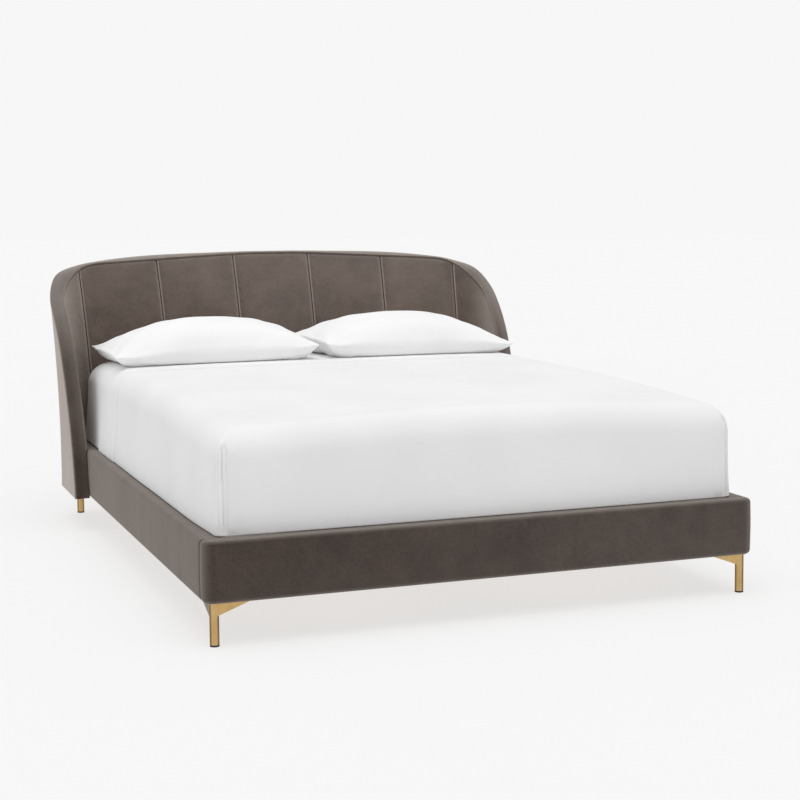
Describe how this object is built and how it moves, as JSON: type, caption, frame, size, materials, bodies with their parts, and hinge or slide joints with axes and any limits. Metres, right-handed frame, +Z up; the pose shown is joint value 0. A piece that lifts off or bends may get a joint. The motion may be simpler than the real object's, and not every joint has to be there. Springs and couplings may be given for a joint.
{
  "type": "upholstered wing bed",
  "caption": "Upholstered bed with a curved wrap-around channelled headboard, low padded rails, gusseted tube legs, slats, mattress, sheets and pillows.",
  "frame": {"origin": "on the floor at the centre of the whole object's outline", "axes": "+Z up, +Y along the bed from foot to headboard, +X to the sleeper's left seen from the foot"},
  "size_m": [1.7917, 2.3649, 0.972],
  "materials": {
    "velvet": "matte",
    "piping": "matte",
    "plywood": "matte",
    "timber": "matte",
    "brass": "satin",
    "black_plastic": "matte",
    "black_steel": "satin",
    "zinc_steel": "satin",
    "webbing": "matte",
    "ticking": "matte",
    "white_cotton": "matte",
    "pillowcase": "matte"
  },
  "bodies": {
    "frame": {"back_pad_1": "velvet", "back_pad_2": "velvet", "back_pad_3": "velvet", "back_pad_4": "velvet", "back_pad_5": "velvet", "beam_brackets": "black_steel", "beam_screws": "zinc_steel", "centre_beam": "black_steel", "centre_glides": "black_plastic", "centre_legs": "black_steel", "foot_bracket_screws": "zinc_steel", "foot_rail_board": "timber", "foot_rail_cover": "velvet", "headboard_back_core": "plywood", "headboard_bolts": "zinc_steel", "headboard_cover": "velvet", "headboard_edge_band": "velvet", "headboard_lower_rail": "timber", "headboard_piping": "piping", "headboard_ribs": "timber", "headboard_tee_nuts": "zinc_steel", "headboard_top_rail": "timber", "left_foot_bracket": "black_steel", "left_front_leg": "brass", "left_ledger": "timber", "left_rail_board": "timber", "left_rail_cover": "velvet", "left_rear_leg": "brass", "left_wing_block": "timber", "left_wing_core": "plywood", "left_wing_pad": "velvet", "leg_glides": "black_plastic", "leg_screws": "zinc_steel", "right_foot_bracket": "black_steel", "right_front_leg": "brass", "right_ledger": "timber", "right_rail_board": "timber", "right_rail_cover": "velvet", "right_rear_leg": "brass", "right_wing_block": "timber", "right_wing_core": "plywood", "right_wing_pad": "velvet", "slat_straps": "webbing", "slats": "timber"},
    "mattress": {"mattress": "ticking", "fitted_sheet": "white_cotton", "flat_sheet": "white_cotton"},
    "left_pillow": {"left_pillow": "pillowcase"},
    "right_pillow": {"right_pillow": "pillowcase"}
  },
  "joints": [
    {"name": "mattress_lift", "type": "slide", "parent": "frame", "child": "mattress", "axis": [0, 0, 1], "range_m": [0, 0.4]},
    {"name": "left_pillow_lift", "type": "slide", "parent": "mattress", "child": "left_pillow", "axis": [0, 0, 1], "range_m": [0, 0.4]},
    {"name": "right_pillow_lift", "type": "slide", "parent": "mattress", "child": "right_pillow", "axis": [0, 0, 1], "range_m": [0, 0.4]}
  ]
}
